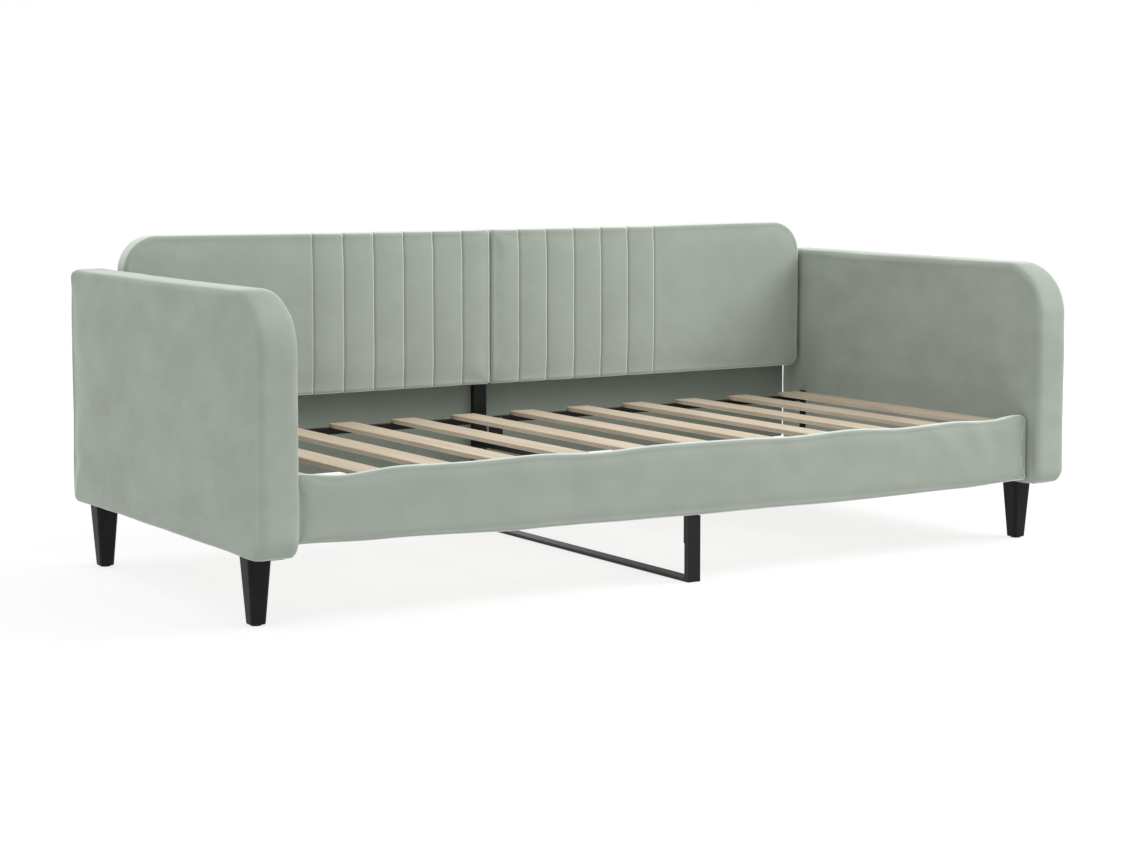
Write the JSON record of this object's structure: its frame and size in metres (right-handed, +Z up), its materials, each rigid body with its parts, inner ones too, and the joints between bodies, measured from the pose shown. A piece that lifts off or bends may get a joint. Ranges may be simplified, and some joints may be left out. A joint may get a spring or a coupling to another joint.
{
  "type": "daybed",
  "caption": "Upholstered daybed with padded arms on tapered legs, a padded front rail, a channelled backrest and a slatted base on a steel frame.",
  "frame": {"origin": "on the floor, under the middle of the whole daybed", "axes": "+X along the length, to the right as seen from the front; +Y to the back; +Z up"},
  "size_m": [2.23, 1.065, 0.785],
  "materials": {
    "velvet": "short pile velvet, light sage grey",
    "foam": "upholstery foam",
    "dust_cloth": "black non-woven",
    "plywood": "raw plywood",
    "timber": "raw pine",
    "slat_wood": "raw poplar plywood",
    "leg_plastic": "satin black moulded",
    "glide_plastic": "matt black moulded",
    "black_steel": "satin black powder coat",
    "zinc_steel": "zinc plated"
  },
  "bodies": {
    "root": {"arm_timber_left": "timber", "arm_timber_right": "timber", "arm_boards_left": "plywood", "arm_boards_right": "plywood", "arm_foam_left": "foam", "arm_foam_right": "foam", "arm_cover_left": "velvet", "arm_cover_right": "velvet", "arm_dust_covers": "dust_cloth", "leg_front_left": "leg_plastic", "leg_front_right": "leg_plastic", "leg_rear_left": "leg_plastic", "leg_rear_right": "leg_plastic", "leg_glides": "glide_plastic", "leg_bolts": "zinc_steel", "leg_t_nuts": "zinc_steel", "front_rail_board": "plywood", "front_rail_foam": "foam", "front_rail_cover": "velvet", "back_board_left": "plywood", "back_board_right": "plywood", "back_foam_left": "foam", "back_foam_right": "foam", "back_cover_left": "velvet", "back_cover_right": "velvet", "back_packers": "timber", "back_brackets": "black_steel", "rear_panel_board": "plywood", "rear_panel_cover": "velvet", "ledge_front_left": "black_steel", "ledge_front_right": "black_steel", "ledge_rear_left": "black_steel", "ledge_rear_right": "black_steel", "ledge_bracket_front_left": "black_steel", "ledge_bracket_front_right": "black_steel", "ledge_bracket_rear_left": "black_steel", "ledge_bracket_rear_right": "black_steel", "ledge_prop_front": "black_steel", "ledge_prop_rear": "black_steel", "centre_front_post": "black_steel", "centre_rear_post": "black_steel", "centre_cross_beam": "black_steel", "centre_floor_bar": "black_steel", "rear_post_cap": "glide_plastic", "arm_bolts": "zinc_steel", "panel_bolts": "zinc_steel", "centre_bolts": "zinc_steel", "slat_screws": "zinc_steel", "slat_01": "slat_wood", "slat_02": "slat_wood", "slat_03": "slat_wood", "slat_04": "slat_wood", "slat_05": "slat_wood", "slat_06": "slat_wood", "slat_07": "slat_wood", "slat_08": "slat_wood", "slat_09": "slat_wood", "slat_10": "slat_wood", "slat_11": "slat_wood", "slat_12": "slat_wood"}
  },
  "joints": []
}
